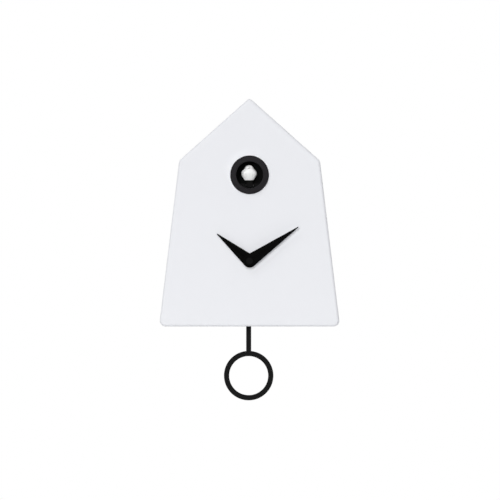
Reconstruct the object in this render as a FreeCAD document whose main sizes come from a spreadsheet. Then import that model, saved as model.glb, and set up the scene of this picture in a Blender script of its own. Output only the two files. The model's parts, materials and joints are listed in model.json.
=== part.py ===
# Battery cuckoo wall clock: a house-shaped case, a bird behind a round porthole, two hands and a pendulum.
# Frame: millimetres, +Z up, front towards -Y. The origin is the centre of the keyhole, on the wall plane.
# "out" means the distance in front of the wall plane, so a point's Y is minus its out.
# Heights in the sheet are above the underside of the case; up() turns one into a Z.
import FreeCAD, Part
import math
import os
import re
import Sketcher

Vector, Rotation = FreeCAD.Vector, FreeCAD.Rotation

SIZES = {
    # case
    "base_width": 204, "side_angle": 6.9, "roof_angle": 41.7, "apex_height": 257.7, "case_depth": 85,
    "wall": 2.5, "foot_radius": 6.5, "eave_radius": 8, "ridge_radius": 3.6, "rim_radius": 3.2,
    "cover_thick": 3, "cover_gap": 0.4,
    "hang_height": 215, "hang_hole": 4.5, "hang_slot": 2.2, "hang_rise": 9,
    "boss_radius": 3.6, "rib_half": 0.8, "low_boss_x": 89, "low_boss_height": 12,
    "mid_boss_x": 70, "mid_boss_height": 176, "top_boss_height": 238,
    # screws: the radius of the shank, of the hole it cuts its thread in, and of the pan head
    "screw_shank": 1.25, "screw_hole": 1.3, "screw_head": 2.8, "head_thick": 1.2, "screw_length": 10,
    "recess_depth": 0.7, "recess_half": 1.6, "recess_width": 0.6,
    # shafts of 2 mm and the holes they run in
    "shaft_radius": 1, "shaft_room": 1.06,
    # porthole and bird
    "port_height": 171, "ring_radius": 21.8, "ring_thick": 3, "port_radius": 15.2, "neck_radius": 17.8,
    "floor_height": 161.4, "floor_out": 80, "bird_floor": 164.9, "bird_out": 68,
    "frame_out": 46, "frame_thick": 2, "post_x": 25, "post_radius": 3,
    "low_post_height": 151, "high_post_height": 191, "plate_edge": 4, "guide_out": 22,
    "bar_half": 4, "bar_top": 161.2, "bar_tail": 7, "bar_front": 79.8, "slide_gap": 0.15, "stand_half": 3.2,
    "rack_half": 2.9, "rack_module": 0.8, "rack_line": 157.5, "pinion_teeth": 12, "gear_out": 32,
    "train_module": 0.6, "gear_teeth": 40, "motor_teeth": 10, "motor_drop": 15.1,
    "motor_radius": 10, "motor_flat": 15, "motor_length": 25,
    "cheek_left": -9, "cheek_right": 11.5, "cheek_thick": 2,
    # clock movement and hands
    "hub_height": 73.8, "movement_half": 28, "movement_front": 81.5, "movement_back": 65.5, "shell": 1.5,
    "bush_radius": 4, "bush_bore": 2.95, "tube_radius": 2.87, "tube_bore": 1.57, "arbor_radius": 1.5,
    "nut_half": 6, "hand_hub": 7.45, "tip_half": 0.4, "minute_reach": 67.1, "hour_reach": 47.9,
    "hand_thick": 0.9, "minute_angle": 55.1, "hour_angle": -50.2, "hour_out": 88.2, "minute_out": 91,
    "cap_radius": 3.8, "cap_thick": 2.6, "cap_bore": 1.2,
    "motion_module": 0.6, "cannon_teeth": 12, "setting_teeth": 36,
    "hour_module": 0.48, "link_teeth": 12, "hour_teeth": 48, "setting_x": -14.4,
    "knob_radius": 8, "knob_start": 0.5, "knob_length": 7.5,
    # pendulum
    "swing_x": -1, "swing_height": 95.8, "swing_out": 58, "swing_pin": 1, "arm_thick": 2.6,
    "magnet_rise": 11, "rod_top": 50, "rod_width": 5.7, "rod_thick": 2.6, "rod_gap": 0.2,
    "bob_drop": 56.1, "bob_radius": 28, "bob_width": 5.9, "slot_half": 15.6, "slot_width": 8,
    # battery box
    "tray_half": 28.5, "tray_low": 12, "tray_high": 60, "tray_back": 20.5, "tray_wall": 1.5,
    "cell_radius": 7.2, "cell_length": 49.3, "cell_button": 1.1, "cell_pitch": 15, "cell_height": 36,
    "cell_out": 11.4, "contact_thick": 0.5, "spring_radius": 3.4, "stand_height": 3, "ear_thick": 2,
    "door_half": 28, "door_low": 14, "door_high": 58, "door_gap": 0.4, "hinge_radius": 0.9,
    # sound parts
    "speaker_x": -44, "speaker_height": 113, "speaker_radius": 24, "basket_wall": 1, "basket_depth": 7,
    "board_x": 57, "board_height": 112, "board_half_x": 20, "board_half_z": 24, "board_out": 10,
    "board_thick": 1.6, "board_screw_hole": 1, "switch_rise": 14, "dial_radius": 5, "button_drop": 15,
    "button_radius": 3, "sensor_x": 45, "sensor_out": 60, "sensor_radius": 2.5,
    "lead_radius": 0.6,
}

doc = FreeCAD.newDocument("cuckoo_clock")
sheet = doc.addObject("Spreadsheet::Sheet", "sizes")
for row, (alias, number) in enumerate(SIZES.items(), start=1):
    sheet.set(f"A{row}", alias)
    sheet.set(f"B{row}", str(number))
    sheet.setAlias(f"B{row}", alias)
doc.recompute()

NODES = []
AXIS_X, AXIS_Y = Vector(1, 0, 0), Vector(0, 1, 0)


# ---------------------------------------------------------------- expressions

def bound(text):
    """The expression with every alias read from the sheet."""
    return re.sub(r"[a-z_][a-z_0-9]*", lambda m: f"sizes.{m[0]}" if m[0] in SIZES else m[0], str(text))


def number_of(text):
    """The present value of an expression."""
    result = sheet.evalExpression(bound(text))
    return float(getattr(result, "Value", result))


def bind(item, **properties):
    """Binds properties of a document object to expressions."""
    for name, text in properties.items():
        item.setExpression(name, bound(text))
    return item


def up(height):
    """Z of a height above the underside of the case."""
    return f"({height}) - hang_height"


def at(item, x="0", out="0", z="0"):
    """Binds the position of an object to expressions."""
    for axis, text in (("x", x), ("y", f"-({out})"), ("z", z)):
        item.setExpression(f"Placement.Base.{axis}", bound(text))
    return item


def turn(item, axis, angle):
    """Binds a turn about one of the frame's axes, in degrees."""
    item.Placement.Rotation = Rotation(axis, 0)
    item.setExpression("Placement.Rotation.Angle", bound(f"({angle}) * 1deg"))
    return item


def node(label, item):
    """Records a finished sub-part under the name of its file."""
    item.Label = label
    NODES.append(item)
    return item


# ---------------------------------------------------------------- part design

def new_body(name):
    return doc.addObject("PartDesign::Body", name + "_body")


def sketch(body, plane="XZ_Plane", offset="0", x="0", z="0"):
    """A sketch on one of the body's origin planes, moved by offset along its normal and by x, z within it.
    The normal of XZ_Plane points to the front, of YZ_Plane to +X and of XY_Plane up."""
    made = body.newObject("Sketcher::SketchObject", "sketch")
    support = next(f for f in body.Origin.OriginFeatures if f.Role == plane)
    made.AttachmentSupport = (support, [""])
    made.MapMode = "FlatFace"
    for axis, text in (("x", x), ("y", z), ("z", offset)):
        made.setExpression(f"AttachmentOffset.Base.{axis}", bound(text))
    return made


def pin(made, line, vertex, x, y):
    """Holds a vertex of a sketch at a place given by two expressions."""
    for kind, text in (("DistanceX", x), ("DistanceY", y)):
        index = made.addConstraint(Sketcher.Constraint(kind, -1, 1, line, vertex, number_of(text)))
        made.setExpression(f"Constraints[{index}]", bound(text))


def polygon(made, corners):
    """A closed outline of straight lines through corners, each a pair of expressions."""
    first, count = made.GeometryCount, len(corners)
    points = [Vector(number_of(x), number_of(y), 0) for x, y in corners]
    for i in range(count):
        made.addGeometry(Part.LineSegment(points[i], points[(i + 1) % count]), False)
    for i in range(count):
        made.addConstraint(Sketcher.Constraint("Coincident", first + i, 2, first + (i + 1) % count, 1))
    for i, (x, y) in enumerate(corners):
        pin(made, first + i, 1, x, y)
    return made


def rectangle(made, x0, x1, y0, y1):
    return polygon(made, [(x0, y0), (x1, y0), (x1, y1), (x0, y1)])


def circle(made, radius, x="0", y="0"):
    middle = Vector(number_of(x), number_of(y), 0)
    index = made.addGeometry(Part.Circle(middle, Vector(0, 0, 1), number_of(radius)), False)
    pin(made, index, 3, x, y)
    constraint = made.addConstraint(Sketcher.Constraint("Radius", index, number_of(radius)))
    made.setExpression(f"Constraints[{constraint}]", bound(radius))
    return made


def grow(body, kind, profile, length, reverse=False, middle=False):
    """A Pad or Pocket of the profile.
    A Pad goes along the sketch's normal and a Pocket against it, unless reverse."""
    before = body.Shape.Volume if body.Shape and not body.Shape.isNull() else 0
    made = body.newObject("PartDesign::" + kind, kind.lower())
    made.Profile = profile
    made.Reversed = reverse
    made.Midplane = middle
    bind(made, Length=length)
    doc.recompute()
    if abs(body.Shape.Volume - before) < 1e-3:
        raise RuntimeError(f"{body.Name}: {made.Name} changed nothing")
    return made


def pad(body, profile, length, **options):
    return grow(body, "Pad", profile, length, **options)


def pocket(body, profile, length, **options):
    return grow(body, "Pocket", profile, length, **options)


def spin(body, profile, axis="H_Axis", kind="Revolution"):
    """A full turn of the profile round one of its sketch's axes."""
    made = body.newObject("PartDesign::" + kind, kind.lower())
    made.Profile = profile
    made.ReferenceAxis = (profile, [axis])
    made.Angle = 360
    doc.recompute()
    return made


def around(body, features, profile, count):
    """Repeats features round the normal through the origin of the profile's sketch."""
    made = body.newObject("PartDesign::PolarPattern", "ring")
    made.Originals = features
    made.Axis = (profile, ["N_Axis"])
    made.Angle = 360
    bind(made, Occurrences=count)
    body.Tip = made
    doc.recompute()
    return made


def dress(body, kind, size, test):
    """A Fillet or Chamfer of the edges that pass the test."""
    base = body.Tip
    edges = [f"Edge{i}" for i, edge in enumerate(base.Shape.Edges, start=1) if test(edge)]
    if not edges:
        raise RuntimeError(f"{body.Name}: no edge to {kind.lower()}")
    made = body.newObject("PartDesign::" + kind, kind.lower())
    made.Base = (base, edges)
    bind(made, **{"Radius" if kind == "Fillet" else "Size": size})
    doc.recompute()
    return made


def upright(x, z, inside=1.0):
    """A test for the edges along Y that pass close to a point of the front view."""
    x, z = number_of(x), number_of(z)

    def test(edge):
        ends = [v.Point for v in edge.Vertexes]
        along_y = len(ends) == 2 and abs(ends[0].x - ends[1].x) < 1e-4 and abs(ends[0].z - ends[1].z) < 1e-4
        return along_y and abs(ends[0].x - x) < inside and abs(ends[0].z - z) < inside
    return test


def on_plane(out):
    """A test for the edges that lie in a plane parallel to the wall."""
    y = -number_of(out)
    return lambda edge: abs(edge.BoundBox.YMin - y) < 1e-4 and abs(edge.BoundBox.YMax - y) < 1e-4


# ---------------------------------------------------------------- primitives and booleans

def block(x, out, z):
    """A box between pairs of expressions in X, out and height above the underside of the case."""
    made = doc.addObject("Part::Box", "block")
    length, width, height = [f"({high}) - ({low})" for low, high in (x, out, z)]
    bind(made, Length=length, Width=width, Height=height)
    return at(made, x[0], out[1], up(z[0]))


def rod(radius, start, end, x="0", out="0", height="0", along="front"):
    """A cylinder from start to end along the front (out), side (x) or up (height) direction."""
    made = doc.addObject("Part::Cylinder", "rod")
    bind(made, Radius=radius, Height=f"({end}) - ({start})")
    if along == "front":
        made.Placement.Rotation = Rotation(Vector(1, 0, 0), 90)
        return at(made, x, start, up(height))
    if along == "side":
        made.Placement.Rotation = Rotation(Vector(0, 1, 0), 90)
        return at(made, start, out, up(height))
    return at(made, x, out, up(start))


def join(*items):
    made = doc.addObject("Part::MultiFuse", "join")
    made.Shapes = list(items)
    return made


def cut(base, *tools):
    made = doc.addObject("Part::Cut", "cut")
    made.Base = base
    made.Tool = tools[0] if len(tools) == 1 else join(*tools)
    return made


def group(*items):
    """Separate solids kept as one sub-part."""
    made = doc.addObject("Part::Compound", "group")
    made.Links = list(items)
    return made


def ring(outer, inner, start, end, x="0", height="0"):
    return cut(rod(outer, start, end, x, "0", height), rod(inner, start, end, x, "0", height))


# ---------------------------------------------------------------- case

def house_corners(inset):
    """The corners of the house outline moved inwards by inset, from the right foot round to the left."""
    side, roof = "side_angle * 1deg", "roof_angle * 1deg"
    foot_x = f"base_width / 2 - ({inset}) * (tan({side}) + 1 / cos({side}))"
    ridge = f"apex_height - ({inset}) / cos({roof})"
    eave_x = (f"(base_width / 2 - ({inset}) / cos({side}) - tan({side}) * ({ridge}))"
              f" / (1 - tan({side}) * tan({roof}))")
    eave = f"({ridge}) - tan({roof}) * {eave_x}"
    return [(foot_x, up(inset)), (eave_x, up(eave)), ("0", up(ridge)),
            (f"-1 * {eave_x}", up(eave)), (f"-1 * ({foot_x})", up(inset))]


def round_house(body, inset):
    """Rounds the upright corners of a house-shaped solid or hollow."""
    radii = ["foot_radius", "eave_radius", "ridge_radius", "eave_radius", "foot_radius"]
    tests = {r: [] for r in radii}
    for (x, z), radius in zip(house_corners(inset), radii):
        tests[radius].append(upright(x, z, 0.2))
    for radius, those in tests.items():
        dress(body, "Fillet", f"{radius} - ({inset})", lambda edge: any(test(edge) for test in those))


BOSSES = [("low_boss_x", "low_boss_height"), ("-low_boss_x", "low_boss_height"),
          ("mid_boss_x", "mid_boss_height"), ("-mid_boss_x", "mid_boss_height"), ("0", "top_boss_height")]
# Each rib ties a side boss to the wall: its first and last X and the height of its middle.
RIBS = [("low_boss_x", "low_boss_x + 10", "low_boss_height"),
        ("-low_boss_x - 10", "-low_boss_x", "low_boss_height"),
        ("mid_boss_x", "mid_boss_x + 9", "mid_boss_height"),
        ("-mid_boss_x - 9", "-mid_boss_x", "mid_boss_height")]
POSTS = [("post_x", "low_post_height"), ("-post_x", "low_post_height"),
         ("post_x", "high_post_height"), ("-post_x", "high_post_height")]

# The pendulum's rod hangs on the wall side of its hanger: its front and its middle, as outs.
ROD_FRONT = "swing_out - arm_thick / 2 - rod_gap"
ROD_MIDDLE = f"{ROD_FRONT} - rod_thick / 2"


def front_case():
    """The white moulding: front panel, side walls, screw bosses and the posts of the bird frame."""
    body = new_body("front_case")
    pad(body, polygon(sketch(body), house_corners("0")), "case_depth")
    round_house(body, "0")
    dress(body, "Fillet", "rim_radius", on_plane("case_depth"))
    pocket(body, polygon(sketch(body), house_corners("wall")), "case_depth - wall", reverse=True)
    round_house(body, "wall")

    bosses = sketch(body, offset="case_depth - wall")
    for x, height in BOSSES:
        circle(bosses, "boss_radius", x, up(height))
    pad(body, bosses, "case_depth - wall - cover_thick", reverse=True)
    ribs = sketch(body, offset="case_depth - wall")
    for x0, x1, height in RIBS:
        rectangle(ribs, x0, x1, up(f"{height} - rib_half"), up(f"{height} + rib_half"))
    rectangle(ribs, "-rib_half", "rib_half", up("top_boss_height"), up("top_boss_height + 17.5"))
    pad(body, ribs, "case_depth - wall - cover_thick - 2", reverse=True)
    posts = sketch(body, offset="case_depth - wall")
    for x, height in POSTS:
        circle(posts, "post_radius", x, up(height))
    pad(body, posts, "case_depth - wall - frame_out - frame_thick", reverse=True)

    boss_holes = sketch(body, offset="cover_thick")
    for x, height in BOSSES:
        circle(boss_holes, "screw_hole", x, up(height))
    pocket(body, boss_holes, "screw_length + 4", reverse=True)
    post_holes = sketch(body, offset="frame_out")
    for x, height in POSTS:
        circle(post_holes, "screw_hole", x, up(height))
    pocket(body, post_holes, "screw_length", reverse=True)

    front_holes = sketch(body, offset="case_depth")
    circle(front_holes, "neck_radius + 0.1", "0", up("port_height"))
    circle(front_holes, "bush_radius + 0.15", "0", up("hub_height"))
    pocket(body, front_holes, "wall + 1")

    slot = rectangle(sketch(body, "XY_Plane", up("0")), "swing_x - slot_half", "swing_x + slot_half",
                     f"-({ROD_MIDDLE}) - slot_width / 2", f"-({ROD_MIDDLE}) + slot_width / 2")
    pocket(body, slot, "wall + 1", reverse=True)
    sensor = circle(sketch(body, "XY_Plane", up("0")), "sensor_radius + 1.1", "sensor_x", "-sensor_out")
    pocket(body, sensor, "wall + 1", reverse=True)
    return node("front_case", body)


# The speaker's grille: the radius of each ring of holes and the number of holes in it.
GRILLE_RINGS = (("5.5", "6"), ("11", "12"), ("16.5", "18"))


def back_cover():
    """The flat back: keyhole, battery opening, speaker grille and the openings of the controls."""
    body = new_body("back_cover")
    inset = "wall + cover_gap"
    pad(body, polygon(sketch(body), house_corners(inset)), "cover_thick")
    round_house(body, inset)

    seat = sketch(body, offset="cover_thick", x="speaker_x", z=up("speaker_height"))
    circle(seat, "speaker_radius + 2.2")
    circle(seat, "speaker_radius + 0.3")
    pad(body, seat, "5")
    stands = sketch(body, offset="cover_thick")
    for x, height in BOARD_CORNERS:
        circle(stands, "2.6", x, up(height))
    pad(body, stands, "board_out - cover_thick")
    tray_stands = sketch(body, offset="cover_thick")
    for x, height in TRAY_SCREWS:
        circle(tray_stands, "2.8", x, up(height))
    pad(body, tray_stands, "stand_height")
    tray_holes = sketch(body, offset="cover_thick + stand_height")
    for x, height in TRAY_SCREWS:
        circle(tray_holes, "screw_hole", x, up(height))
    pocket(body, tray_holes, "stand_height + 1.5")
    stand_holes = sketch(body, offset="board_out")
    for x, height in BOARD_CORNERS:
        circle(stand_holes, "board_screw_hole", x, up(height))
    pocket(body, stand_holes, "6")

    round_holes = sketch(body)
    circle(round_holes, "hang_hole", "0", "0")
    circle(round_holes, "knob_radius + 1.2", "setting_x", up("hub_height"))
    circle(round_holes, "dial_radius + 0.6", "board_x", up("board_height"))
    circle(round_holes, "button_radius + 0.4", "board_x", up("board_height - button_drop"))
    for x, height in BOSSES:
        circle(round_holes, "screw_hole + 0.3", x, up(height))
    pocket(body, round_holes, "cover_thick", reverse=True)
    hang = rectangle(sketch(body), "-hang_slot", "hang_slot", "hang_hole / 2", "hang_rise - hang_slot")
    pocket(body, hang, "cover_thick", reverse=True)
    hang_end = circle(sketch(body), "hang_slot", "0", "hang_rise - hang_slot")
    pocket(body, hang_end, "cover_thick", reverse=True)

    head_seats = sketch(body)
    for x, height in BOSSES:
        circle(head_seats, "screw_head + 0.4", x, up(height))
    pocket(body, head_seats, "1.6", reverse=True)

    square_holes = sketch(body)
    rectangle(square_holes, "-door_half - door_gap", "door_half + door_gap",
              up("door_low - door_gap"), up("door_high + door_gap"))
    rectangle(square_holes, "board_x - 6", "board_x + 6",
              up("board_height + switch_rise - 2.5"), up("board_height + switch_rise + 2.5"))
    pocket(body, square_holes, "cover_thick", reverse=True)
    hinge = circle(sketch(body, "YZ_Plane"), "hinge_radius + 0.06", "-cover_thick / 2",
                   up("door_high - cover_thick / 2"))
    pocket(body, hinge, "2 * door_half + 6", middle=True)

    middle_hole = circle(sketch(body, x="speaker_x", z=up("speaker_height")), "1.5")
    pocket(body, middle_hole, "cover_thick", reverse=True)
    for distance, count in GRILLE_RINGS:
        holes = circle(sketch(body, x="speaker_x", z=up("speaker_height")), "1.4", distance, "0")
        first = pocket(body, holes, "cover_thick", reverse=True)
        around(body, [first], holes, count)
    return node("back_cover", body)


def pan_screw(x, height, start, length):
    """A pan-head screw driven from the back: the head's outer face is at start."""
    neck, recess = f"{start} + head_thick", (start, f"{start} + recess_depth")
    head = rod("screw_head", start, neck, x, "0", height)
    shank = rod("screw_shank", neck, f"{neck} + {length}", x, "0", height)
    wide = [(f"{middle} - recess_half", f"{middle} + recess_half") for middle in (x, height)]
    narrow = [(f"{middle} - recess_width / 2", f"{middle} + recess_width / 2") for middle in (x, height)]
    return cut(join(head, shank), block(wide[0], recess, narrow[1]), block(narrow[0], recess, wide[1]))


def cover_screws():
    screws = [pan_screw(x, height, "0.4", "screw_length") for x, height in BOSSES]
    return node("cover_screws", group(*screws))


# ---------------------------------------------------------------- porthole and bird

def porthole_ring():
    """The black ring on the front panel, with a neck through the panel."""
    body = new_body("porthole_ring")
    profile = polygon(sketch(body, "YZ_Plane"), [
        ("wall", "port_radius"), ("wall", "neck_radius"), ("0", "neck_radius"), ("0", "ring_radius"),
        ("-ring_thick", "ring_radius"), ("-ring_thick", "port_radius")])
    spin(body, profile)
    dress(body, "Fillet", "1.3", on_plane("ring_thick"))
    return node("porthole_ring", at(body, "0", "case_depth", up("port_height")))


def bird_tunnel():
    """The black tube behind the porthole, with a flat floor on both sides of the carriage's channel."""
    start, low = "frame_out + frame_thick", "port_height - port_radius - 1"
    tube = ring("neck_radius", "port_radius", start, "case_depth - wall", "0", "port_height")
    inside = rod("port_radius + 1", start, "floor_out", "0", "0", "port_height")
    sides = [block(x, (start, "floor_out"), (low, "floor_height"))
             for x in (("bar_half + 0.3", "port_radius"), ("-port_radius", "-bar_half - 0.3"))]
    floor = doc.addObject("Part::Common", "floor")
    floor.Base = inside
    floor.Tool = join(*sides)
    return node("bird_tunnel", join(tube, floor))


def bird():
    """The bird on its flat foot, beak to the front."""
    def ball(half_width, half_length, half_height, x, out, height):
        made = doc.addObject("Part::Ellipsoid", "ball")
        bind(made, Radius1=half_height, Radius2=half_width, Radius3=half_length)
        return at(made, x, out, up(f"bird_floor + {height}"))

    def cone(start_radius, end_radius, length):
        made = doc.addObject("Part::Cone", "cone")
        return bind(made, Radius1=start_radius, Radius2=end_radius, Height=length)
    torso = ball("7.2", "12.6", "7", "0", "bird_out", "7")
    head = ball("5.2", "5.8", "5.2", "0", "bird_out + 6", "12.9")
    wings = [ball("4", "9.5", "4.55", x, "bird_out - 1.5", "8") for x in ("5.1", "-5.1")]
    foot = at(cone("4.9", "7.2", "4.6"), "0", "bird_out", up("bird_floor"))
    tail = block(("-4", "4"), ("bird_out - 17", "bird_out - 9"), ("bird_floor + 4", "bird_floor + 7"))
    beak = cone("2.1", "0.3", "5.5")
    beak.Placement.Rotation = Rotation(AXIS_X, 90)
    at(beak, "0", "bird_out + 10.8", up("bird_floor + 13.2"))
    below = block(("-12", "12"), ("bird_out - 20", "bird_out + 20"), ("bird_floor - 8", "bird_floor"))
    screw_hole = rod("shaft_room", "bird_floor", "bird_floor + 6", "0", "bird_out", along="up")
    return node("bird", cut(join(torso, head, *wings, foot, tail, beak), below, screw_hole))


RACK_STEPS = 11


def bird_carriage():
    """The sliding bar with the bird's stand, a rack below its tail and a nose that fills the channel."""
    bar = block(("-bar_half", "bar_half"), ("bar_tail", "bar_front"), ("rack_line + 1", "bar_top"))
    stand = block(("-stand_half", "stand_half"), ("bird_out - 7", "bird_out + 4"),
                  ("bar_top - 1", "bird_floor"))
    nose = block(("-bar_half", "bar_half"), ("bar_front - 1.6", "bar_front"), ("rack_line - 0.7", "bar_top"))
    body = new_body("rack")
    floor, tip, root = up("rack_line + 1.4"), up("rack_line - 0.68"), up("rack_line + 0.9")
    pitch = "pi * rack_module"
    front = f"-gear_out - 1.5 * {pitch}"
    blank = rectangle(sketch(body, "YZ_Plane"), f"{front} - 1", "-bar_tail - 0.5", root, floor)
    pad(body, blank, "2 * rack_half", middle=True)
    tooth = polygon(sketch(body, "YZ_Plane"), [
        (f"{front} + 1", root), (f"{front} + 0.25", tip), (f"{front} - 0.25", tip), (f"{front} - 1", root)])
    first = pad(body, tooth, "2 * rack_half", middle=True)
    row = body.newObject("PartDesign::LinearPattern", "row")
    row.Originals = [first]
    row.Direction = (tooth, ["H_Axis"])
    bind(row, Length=f"{RACK_STEPS} * {pitch}", Occurrences=RACK_STEPS + 1)
    body.Tip = row
    doc.recompute()
    hole = rod("shaft_room", "rack_line", "bird_floor + 1", "0", "bird_out", along="up")
    head_seat = rod("2.3", "rack_line", "rack_line + 2.2", "0", "bird_out", along="up")
    return node("bird_carriage", cut(join(bar, stand, nose, body), hole, head_seat))


def bird_screw():
    """The screw that holds the bird, driven from below the bar."""
    start, neck = "rack_line + 1.2", "rack_line + 2.2"
    head = rod("2.1", start, neck, "0", "bird_out", along="up")
    shank = rod("shaft_radius", neck, "bird_floor + 5.5", "0", "bird_out", along="up")
    slot = block(("-1.8", "1.8"), ("bird_out - 0.3", "bird_out + 0.3"), (start, f"{start} + 0.5"))
    return node("bird_screw", cut(join(head, shank), slot))


AXLE_HEIGHT = "rack_line - rack_module * pinion_teeth / 2"
MOTOR_HEIGHT = f"{AXLE_HEIGHT} - motor_drop"
MOTOR_SCREWS = ("gear_out - 8", "gear_out + 8")


def bird_frame():
    """The plate that closes the tunnel, with the bar's guide, the gear cheeks and the motor mount."""
    front = "frame_out + frame_thick"
    low, high = "low_post_height - plate_edge", "high_post_height + plate_edge"
    plate = block(("-post_x - plate_edge", "post_x + plate_edge"), ("frame_out", front), (low, high))
    guide = block(("-bar_half - 2.2", "bar_half + 2.2"), ("guide_out", "frame_out"),
                  ("rack_line - 0.2", "bar_top + 2.4"))
    left = block(("cheek_left", "cheek_left + cheek_thick"), ("gear_out - 6", "frame_out"),
                 (low, "rack_line + 3"))
    right = block(("cheek_right", "cheek_right + cheek_thick"), ("gear_out - 11", "frame_out"),
                  (f"{MOTOR_HEIGHT} - 11", "rack_line + 8"))
    tongue = block(("cheek_right - 3", "cheek_right + 6"), ("frame_out", front),
                   (f"{MOTOR_HEIGHT} - 11", "low_post_height"))
    solid = join(plate, guide, left, right, tongue)
    bar_room = block(("-bar_half - slide_gap", "bar_half + slide_gap"), ("guide_out - 1", f"{front} + 1"),
                     ("rack_line + 1 - slide_gap", "bar_top + slide_gap"))
    rack_room = block(("-rack_half - 0.2", "rack_half + 0.2"), ("guide_out - 1", f"{front} + 1"),
                      ("rack_line - 1", "rack_line + 1"))
    across = ("cheek_left - 1", "cheek_right + cheek_thick + 1")
    holes = [rod("1.01", *across, "0", "gear_out", AXLE_HEIGHT, "side"),
             rod("3.1", "0", across[1], "0", "gear_out", MOTOR_HEIGHT, "side")]
    for out in MOTOR_SCREWS:
        holes.append(rod("1.1", "0", across[1], "0", out, MOTOR_HEIGHT, "side"))
    for x, height in POSTS:
        holes.append(rod("screw_hole + 0.2", "frame_out - 1", f"{front} + 1", x, "0", height))
    return node("bird_frame", cut(solid, bar_room, rack_room, *holes))


def bird_frame_screws():
    screws = [pan_screw(x, height, "frame_out - head_thick", "screw_length - 1") for x, height in POSTS]
    return node("bird_frame_screws", group(*screws))


def spur(body, module, teeth, thick, offset="0", plane="XZ_Plane"):
    """Adds a spur gear to a body, centred on the plane's normal through the body's origin.
    One straight-flanked tooth, thinner than half the pitch, is repeated round a disc."""
    disc = circle(sketch(body, plane, offset), f"{module} * ({teeth} / 2 - 1.1)")
    pad(body, disc, thick)
    root, tip = f"{module} * ({teeth} / 2 - 1.2)", f"{module} * ({teeth} / 2 + 0.8)"
    wide, line, thin = f"{module} * 0.86", f"{module} * 0.62", f"{module} * 0.28"
    tooth = polygon(sketch(body, plane, offset), [
        (wide, root), (line, f"{module} * {teeth} / 2"), (thin, tip),
        (f"-{thin}", tip), (f"-{line}", f"{module} * {teeth} / 2"), (f"-{wide}", root)])
    first = pad(body, tooth, thick)
    around(body, [first], tooth, teeth)


def collar(body, radius, start, length, plane="XZ_Plane"):
    pad(body, circle(sketch(body, plane, start), radius), length)


def bore(body, radius, start, length, plane="XZ_Plane"):
    pocket(body, circle(sketch(body, plane, start), radius), length, reverse=True)


def bird_gear():
    """The compound gear: the small wheel drives the rack and the motor drives the large wheel."""
    body = new_body("bird_gear")
    spur(body, "rack_module", "pinion_teeth", "2 * rack_half", "-rack_half", "YZ_Plane")
    spur(body, "train_module", "gear_teeth", "3", "7", "YZ_Plane")
    collar(body, "3", "rack_half", "7.2 - rack_half", "YZ_Plane")
    collar(body, "3", "9.8", "cheek_right - 10.1", "YZ_Plane")
    collar(body, "2.4", "cheek_left + cheek_thick + 0.3", "-cheek_left - cheek_thick - rack_half - 0.2",
           "YZ_Plane")
    bore(body, "shaft_room", "-8", "22", "YZ_Plane")
    return node("bird_gear", at(body, "0", "gear_out", up(AXLE_HEIGHT)))


def bird_axle():
    """The fixed steel pin between the two cheeks, on which the gear runs."""
    end = "cheek_right + cheek_thick"
    return node("bird_axle", rod("shaft_radius", "cheek_left", end, "0", "gear_out", AXLE_HEIGHT, "side"))


def bird_motor():
    """The small direct-current motor: a flattened can with a nose and two terminals."""
    start = "cheek_right + cheek_thick"
    end = f"{start} + motor_length"
    can = rod("motor_radius", start, end, "0", "gear_out", MOTOR_HEIGHT, "side")
    flats = block((start, end), ("gear_out - motor_radius", "gear_out + motor_radius"),
                  (f"{MOTOR_HEIGHT} - motor_flat / 2", f"{MOTOR_HEIGHT} + motor_flat / 2"))
    body = doc.addObject("Part::Common", "can")
    body.Base = can
    body.Tool = flats
    nose = rod("3", "cheek_right + 0.6", start, "0", "gear_out", MOTOR_HEIGHT, "side")
    cap = rod("6", end, f"{end} + 1.5", "0", "gear_out", MOTOR_HEIGHT, "side")
    tabs = [block((end, f"{end} + 3"), (f"gear_out + {y} - 0.4", f"gear_out + {y} + 0.4"),
                  (f"{MOTOR_HEIGHT} - 1", f"{MOTOR_HEIGHT} + 1")) for y in ("7", "-7")]
    shaft_hole = rod("shaft_room", "cheek_right", f"{start} + 6", "0", "gear_out", MOTOR_HEIGHT, "side")
    tapped = [rod("1", start, f"{start} + 3", "0", out, MOTOR_HEIGHT, "side") for out in MOTOR_SCREWS]
    return node("bird_motor", cut(join(body, nose, cap, *tabs), shaft_hole, *tapped))


def motor_screws():
    made = []
    end = "cheek_right + cheek_thick + 2.5"
    for out in MOTOR_SCREWS:
        head = rod("1.7", "cheek_right - 1", "cheek_right", "0", out, MOTOR_HEIGHT, "side")
        shank = rod("0.95", "cheek_right", end, "0", out, MOTOR_HEIGHT, "side")
        made.append(join(head, shank))
    return node("motor_screws", group(*made))


def motor_pinion():
    """The motor's shaft with its pinion, turned so that its teeth fall in the large wheel's gaps."""
    body = new_body("motor_pinion")
    spur(body, "train_module", "motor_teeth", "3.4", "6.8", "YZ_Plane")
    collar(body, "shaft_radius", "6.3", "cheek_right + cheek_thick + 5.5 - 6.3", "YZ_Plane")
    turn(body, AXIS_X, "180 / motor_teeth")
    return node("motor_pinion", at(body, "0", "gear_out", up(MOTOR_HEIGHT)))


# ---------------------------------------------------------------- clock movement

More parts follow.
